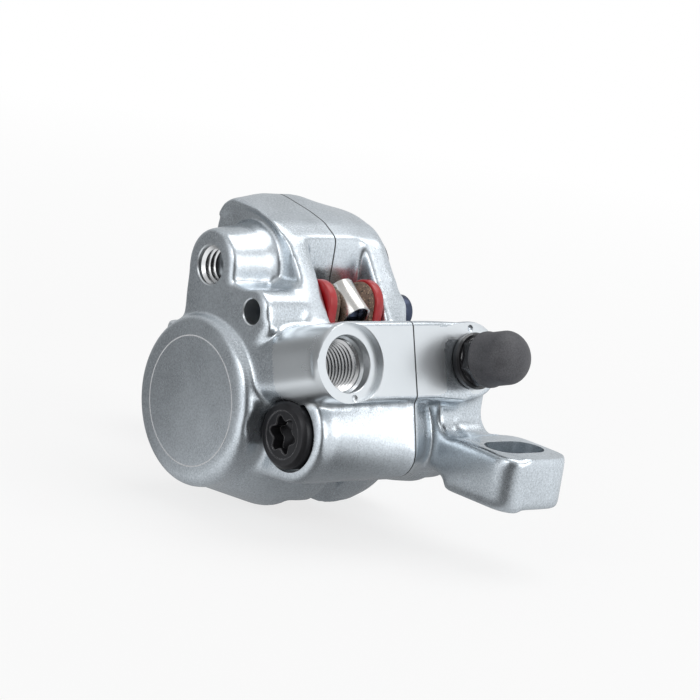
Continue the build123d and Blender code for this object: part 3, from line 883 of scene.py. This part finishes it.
def threadRidge(base, way, low, high, major, minor, pitch):
    bm = bmesh.new()
    steps, crestHalf, rootHalf = ridge["steps"], ridge["crest"], ridge["root"]
    sunk = major + ridge["sunk"]
    side = way.orthogonal().normalized()
    up = way.cross(side).normalized()
    count = floor((high - low - pitch) / pitch * steps)
    fade = steps / 2  # the ridge rises from the wall over half a turn at each end
    rows = []
    for step in range(count + 1):
        angle = 2 * pi * step / steps
        height = low + pitch / 2 + pitch * step / steps
        rise = min(1, step / fade, (count - step) / fade)
        crest = major - (major - minor) * rise
        outward = side * cos(angle) + up * sin(angle)
        section = (
            (major, -rootHalf),
            (crest, -crestHalf),
            (crest, crestHalf),
            (major, rootHalf),
            (sunk, rootHalf),
            (sunk, -rootHalf),
        )
        rows.append([bm.verts.new(base + way * (height + h * pitch) + outward * r) for r, h in section])
    for row, after in zip(rows, rows[1:]):
        for step in range(len(row)):
            nxt = (step + 1) % len(row)
            bm.faces.new((row[step], row[nxt], after[nxt], after[step]))
    bm.faces.new(rows[0])
    bm.faces.new(rows[-1])
    bmesh.ops.recalc_face_normals(bm, faces=bm.faces)
    return bm


def buildThreads():
    for name, size in threads.items():
        mesh = asMesh(threadRidge(**size), name)
        finishPiece(name, mesh, (materials["threadMetal"],), "caliper", "cast_body", sharp=25)


# Body bolts with a six-lobed socket
bolt = {"shank": 3.0, "head": 5.25, "height": 3.2, "bevel": 0.62, "bevelHeight": 0.55,
        "ledge": 3.75, "step": 0.1, "lobeOuter": 3.0, "lobeInner": 2.1, "lobeTurn": radians(12),
        "socket": 2.2, "socketBreak": 0.14}
boltPlaces = {
    "lower": {"spot": body["lowerBolt"], "seat": -body["counterboreSeat"], "end": 10.0},
    "upper": {"spot": body["upperBolt"], "seat": 11.8, "end": -13.4},
}


def lobes(extra=0.0):
    def radius(angle):
        share = ((1 + cos(6 * (angle - bolt["lobeTurn"]))) / 2) ** 1.15
        return bolt["lobeInner"] + (bolt["lobeOuter"] - bolt["lobeInner"]) * share + extra
    return radius


def boltMesh(spot, seat, end):
    # seat is under the head and end is the shank's tip, both along y
    way = farWay if seat > end else nearWay
    seatAt, endAt = abs(seat), -abs(end)
    top = seatAt + bolt["height"]
    shoulder = top - bolt["bevelHeight"]
    crown = bolt["head"] - bolt["bevel"]
    profile = [
        (0, endAt),
        (bolt["shank"] - 0.5, endAt),
        (bolt["shank"], endAt + 0.5),
        (bolt["shank"], seatAt),
        (bolt["head"] - 0.2, seatAt),
        (bolt["head"], seatAt + 0.2),
        (bolt["head"], shoulder - 0.15),
        (bolt["head"] - 0.05, shoulder - 0.04),
        (bolt["head"] - 0.14, shoulder + 0.08),
        (crown + 0.08, top - 0.07),
        (crown - 0.02, top - 0.015),
        (crown - 0.14, top),
        (bolt["ledge"], top),
        (bolt["ledge"] - 0.12, top - bolt["step"]),
        (lobes(bolt["socketBreak"]), top - bolt["step"]),
        (lobes(), top - bolt["step"] - bolt["socketBreak"]),
        (lobes(), top - bolt["socket"]),
        (0, top - bolt["socket"] - 0.7),
    ]
    return asMesh(turned(profile, across(spot), way, 144), "bolt")


def buildBolts():
    for name, place in boltPlaces.items():
        mesh, nodes = boltMesh(**place), (name + "_body_bolt",)
        finishPiece(name + "_bolt_with_socket", mesh, (materials["boltBlack"],), "caliper", "bolt_steel", nodes, 30)


# Bleed nipple and its cap, along the block's axis
nipple = {"seat": 29.95, "thread": 8.0, "threadRadius": 2.95, "collar": 4.4, "collarHeight": 1.1, "across": 7.0,
          "hexHeight": 2.0, "neck": 2.2, "neckLength": 2.6, "barb": 2.9, "barbEnd": 1.9, "barbLength": 2.4,
          "bore": 0.9, "boreDepth": 9.0}
cap = {"base": 33.1, "radius": 4.15, "lip": 4.35, "lipHeight": 0.8, "barrel": 5.2, "dome": 2.2, "rounding": 0.8,
       "bore": 2.95, "boreEnd": 1.95, "boreStraight": 2.5, "boreDepth": 5.1}


def hexagon(shrink=0.0, limit=99.0):
    half = nipple["across"] / 2 - shrink

    def radius(angle):
        turn = (angle + pi / 6) % (pi / 3) - pi / 6
        return min(half / cos(turn), limit)
    return radius


def nippleMesh():
    seat = nipple["seat"]
    collarTop = seat + nipple["collarHeight"]
    hexTop = collarTop + nipple["hexHeight"]
    neckTop = hexTop + nipple["neckLength"]
    tip = neckTop + nipple["barbLength"]
    corner = nipple["across"] / 2 / cos(pi / 6)
    threadEnd = seat - nipple["thread"]
    profile = [
        (0, tip - nipple["boreDepth"]),
        (nipple["bore"], tip - nipple["boreDepth"]),
        (nipple["bore"], tip),
        (nipple["barbEnd"], tip),
        (nipple["barb"], neckTop),
        (nipple["neck"], neckTop),
        (nipple["neck"], hexTop),
        (hexagon(limit=corner - 0.55), hexTop),
        (hexagon(limit=corner - 0.12), hexTop - 0.3),
        (hexagon(), hexTop - 0.55),
        (hexagon(), collarTop + 0.35),
        (hexagon(limit=corner - 0.1), collarTop + 0.12),
        (nipple["across"] / 2 + 0.1, collarTop),
        (nipple["collar"] - 0.28, collarTop),
        (nipple["collar"], collarTop - 0.28),
        (nipple["collar"], seat + 0.15),
        (nipple["collar"] - 0.15, seat),
        (nipple["threadRadius"], seat),
        (nipple["threadRadius"], threadEnd + 0.5),
        (nipple["threadRadius"] - 0.5, threadEnd),
        (0, threadEnd),
    ]
    return asMesh(turned(profile, onBlock(0, body["bleedY"], body["portUp"]), blockAxis, 144), "nipple")


def capMesh():
    top = cap["barrel"] + cap["dome"]
    domeRadius = (cap["radius"] ** 2 + cap["dome"] ** 2) / (2 * cap["dome"])
    domeCentre = top - domeRadius
    start = np.array((cap["radius"], cap["barrel"] - cap["rounding"]))
    corner = np.array((cap["radius"], cap["barrel"]))
    flat = corner[0] - cap["rounding"]
    end = np.array((flat, domeCentre + (domeRadius**2 - flat**2) ** 0.5))
    dome = []
    for step in range(1, 9):  # the rounded edge, then the shallow dome
        share = step / 8
        dome.append(tuple(start * (1 - share) ** 2 + corner * 2 * share * (1 - share) + end * share**2))
    for step in range(1, 12):
        radius = flat * (1 - step / 12)
        dome.append((radius, domeCentre + (domeRadius**2 - radius**2) ** 0.5))
    profile = [
        (0, cap["boreDepth"]),
        (cap["boreEnd"], cap["boreDepth"]),
        (cap["bore"], cap["boreStraight"]),
        (cap["bore"], 0),
        (cap["lip"] - 0.25, 0),
        (cap["lip"], 0.25),
        (cap["lip"], cap["lipHeight"] - 0.2),
        (cap["lip"] - 0.1, cap["lipHeight"] - 0.05),
        (cap["radius"], cap["lipHeight"] + 0.1),
        tuple(start),
        *dome,
        (0, top),
    ]
    base = onBlock(cap["base"], body["bleedY"], body["portUp"])
    return asMesh(turned(profile, base, blockAxis, 96), "cap")


def buildBleeder():
    black, rubber = (materials["nippleBlack"],), (materials["capRubber"],)
    finishPiece("nipple_with_hexagon", nippleMesh(), black, "bleed_nipple", "nipple_steel", ("bleed_nipple",), 28)
    finishPiece("domed_cap", capMesh(), rubber, "bleed_cap", "cap_rubber", ("bleed_cap",), 40)


# Pads, their spring and pin
softEdges = {
    "near_back_plate": (0.22, "plateRed", "near_pad", "plate_paint"),
    "far_back_plate": (0.22, "plateRed", "far_pad", "plate_paint"),
    "near_friction_pad": (0.18, "friction", "near_pad", "friction"),
    "far_friction_pad": (0.18, "friction", "far_pad", "friction"),
    "pad_pin": (0.15, "pinBluedSteelAndShade", "caliper", "pin_steel"),
    "pad_spring": (0.08, "springSteel", "caliper", "spring_steel"),
}


def buildPads():
    for node, (width, material, bodyName, slotName) in softEdges.items():
        thing = finishPiece(
            node + "_rounded", softCopy(node, width), (materials[material],), bodyName, slotName, (node,), 40
        )
        if node == "pad_spring":
            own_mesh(thing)


plainNodes = {
    "near_piston": "pistonMetal",
    "far_piston": "pistonMetal",
    "near_insulator": "insulatorWhite",
    "far_insulator": "insulatorWhite",
    "near_piston_seal": "sealRubber",
    "far_piston_seal": "sealRubber",
    "crossover_seal": "sealRubber",
}


def dressNodes():
    for node, material in plainNodes.items():
        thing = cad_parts[node]
        if not thing.material_slots:
            thing.data.materials.append(materials[material])
        for place in thing.material_slots:
            place.material = materials[material]


# Camera, floor and light
view = {"azimuth": 47.513, "elevation": 11.086, "roll": 9.24, "place": (0.36615, -0.33822, 0.11133),
        "lens": 162.7, "sensor": 36}
studio = {"floorDepth": -0.0106, "floorSize": 6.0, "fadeStart": 0.12, "fadeEnd": 0.45, "shadowShare": 0.24,
          "ambient": 0.5, "floorTone": 0.9}


def addCamera():
    azimuth, elevation, roll = (radians(view[label]) for label in ("azimuth", "elevation", "roll"))
    right = Vector((cos(azimuth), sin(azimuth), 0))
    back = Vector((sin(azimuth) * cos(elevation), -cos(azimuth) * cos(elevation), sin(elevation)))
    up = back.cross(right)
    data = bpy.data.cameras.new("camera")
    data.lens = view["lens"]
    data.sensor_width = view["sensor"]
    camera = asObject(data, "camera")
    turn = Matrix((right * cos(roll) + up * sin(roll), up * cos(roll) - right * sin(roll), back)).transposed()
    camera.matrix_world = Matrix.Translation(view["place"]) @ turn.to_4x4()
    bpy.context.scene.camera = camera


def seesBackground(tree):
    # 1 for camera, mirror and glass rays
    path = addNode(tree, "ShaderNodeLightPath").outputs
    both = addNode(tree, "ShaderNodeMath", {0: path["Is Camera Ray"], 1: path["Is Glossy Ray"]}, operation="ADD")
    rays = {0: both.outputs[0], 1: path["Is Transmission Ray"]}
    return addNode(tree, "ShaderNodeMath", rays, operation="ADD", use_clamp=True).outputs[0]


def addWorld():
    world = bpy.data.worlds.new("studio")
    bpy.context.scene.world = world
    world.use_nodes = True
    tree = world.node_tree
    background = tree.nodes["Background"]
    background.inputs["Color"].default_value = (1, 1, 1, 1)
    level = addNode(tree, "ShaderNodeMapRange", {"Value": seesBackground(tree)})
    level.inputs["To Min"].default_value = studio["ambient"]
    level.inputs["To Max"].default_value = 1.0
    tree.links.new(level.outputs[0], background.inputs["Strength"])


def addFloor():
    size = studio["floorSize"] / 2
    bm = bmesh.new()
    depth = studio["floorDepth"]
    bm.faces.new([bm.verts.new((x * size, y * size, depth)) for x, y in ((-1, -1), (1, -1), (1, 1), (-1, 1))])
    floorPlane = asObject(asMesh(bm, "floor"), "floor")
    material = bpy.data.materials.new("floorWhite")
    material.use_nodes = True
    tree = material.node_tree
    shader = tree.nodes["Principled BSDF"]
    shader.inputs["Base Color"].default_value = (*[studio["floorTone"]] * 3, 1)
    shader.inputs["Roughness"].default_value = 0.9
    shader.inputs["Specular IOR Level"].default_value = 0.1
    glow = addNode(tree, "ShaderNodeEmission", {"Color": (1, 1, 1, 1), "Strength": 1.0})
    place = addNode(tree, "ShaderNodeTexCoord").outputs["Object"]
    reach = addNode(tree, "ShaderNodeVectorMath", {0: place}, operation="LENGTH")
    fade = addNode(
        tree,
        "ShaderNodeMapRange",
        {"Value": reach.outputs["Value"], "From Min": studio["fadeStart"], "From Max": studio["fadeEnd"]},
    )
    fade.inputs["To Min"].default_value = 1 - studio["shadowShare"]
    fade.inputs["To Max"].default_value = 1.0
    share = addNode(tree, "ShaderNodeMath", {0: fade.outputs[0], 1: seesBackground(tree)}, operation="MULTIPLY")
    mix = addNode(tree, "ShaderNodeMixShader", {0: share.outputs[0], 1: shader.outputs[0], 2: glow.outputs[0]})
    tree.links.new(mix.outputs[0], tree.nodes["Material Output"].inputs["Surface"])
    floorPlane.data.materials.append(material)


lamps = {
    "topSoftbox": {"place": (0.10, 0.25, 0.75), "size": 0.7, "power": 2.4},
    "rightSoftbox": {"place": (0.75, 0.15, 0.35), "size": 0.5, "power": 0.96},
    "frontSoftbox": {"place": (0.25, -0.8, 0.45), "size": 0.4, "power": 0.8},
}


def addLamps():
    for name, lamp in lamps.items():
        data = bpy.data.lights.new(name, "AREA")
        data.shape = "DISK"
        data.size = lamp["size"]
        data.energy = lamp["power"]
        thing = asObject(data, name)
        thing.location = lamp["place"]
        thing.rotation_euler = (-Vector(lamp["place"])).to_track_quat("-Z", "Y").to_euler()


# The tent that the metal reflects: brightness by direction at eye height, in degrees from +X towards +Y
tent = {
    "reach": 1.0,
    "low": 0.28,
    "lowFrom": -14,
    "lowTo": -50,
    "high": 0.68,
    "highFrom": 24,
    "highTo": 48,
    "around": ((0, 1.05), (45, 1.1), (95, 0.9), (125, 0.72), (150, 0.6), (178, 0.45), (198, 0.28), (236, 0.25),
               (248, 0.55), (260, 1.3), (284, 1.3), (296, 0.45), (304, 0.09), (330, 0.09), (343, 0.7), (360, 1.05)),
    "lift": 0.0006,
    "height": 0.03,
    "columns": 120,
    "rows": (-89, -75, -60, -45, -35, -25, -18, -12, -8, -5, -3, *range(0, 90, 5), 89),
    "tint": (0.96, 0.98, 1.0, 1),
}


def tentLevel(azimuth, elevation):
    level = np.interp(azimuth % 360, *zip(*tent["around"]))
    low = np.interp(-elevation, (-tent["lowFrom"], -tent["lowTo"]), (0, 1))
    high = np.interp(elevation, (tent["highFrom"], tent["highTo"]), (0, 1))
    level += (tent["low"] - level) * low
    return level + (tent["high"] - level) * high


def addTent():
    # a dome that stands on the floor, with a ground sheet just above it; only reflections see it
    bm = bmesh.new()
    layer = bm.verts.layers.float.new("level")
    columns = tent["columns"]
    floorAt = studio["floorDepth"] + tent["lift"]
    rows = []
    for elevation in tent["rows"]:
        turn = radians(elevation)
        if elevation < 0:
            radius = min(tent["height"] / -np.tan(turn), tent["reach"])
            height = floorAt
        else:
            radius, height = tent["reach"] * cos(turn), floorAt + tent["reach"] * sin(turn)
        line = []
        for column in range(columns):
            azimuth = 360 * column / columns
            angle = radians(azimuth)
            vert = bm.verts.new((radius * cos(angle), radius * sin(angle), height))
            vert[layer] = tentLevel(azimuth, elevation)
            line.append(vert)
        rows.append(line)
    for low, high in zip(rows, rows[1:]):
        for column in range(columns):
            after = (column + 1) % columns
            bm.faces.new((low[column], low[after], high[after], high[column]))
    thing = asObject(asMesh(bm, "tent"), "tent")
    material = bpy.data.materials.new("tentGlow")
    material.use_nodes = True
    tree = material.node_tree
    tree.nodes.remove(tree.nodes["Principled BSDF"])
    level = addNode(tree, "ShaderNodeAttribute", attribute_name="level")
    glow = addNode(tree, "ShaderNodeEmission", {"Color": tent["tint"], "Strength": level.outputs["Fac"]})
    tree.links.new(glow.outputs[0], tree.nodes["Material Output"].inputs["Surface"])
    thing.data.materials.append(material)
    thing.visible_camera = False
    thing.visible_diffuse = False
    thing.visible_shadow = False


addCamera()
addWorld()
addFloor()
addLamps()
addTent()
print("studio ready")
buildBodies()
bossRing()
buildThreads()
print("castings and threads ready")
buildBolts()
buildBleeder()
buildPads()
dressNodes()
print("pieces ready")

bpy.context.scene.view_settings.view_transform = "Standard"
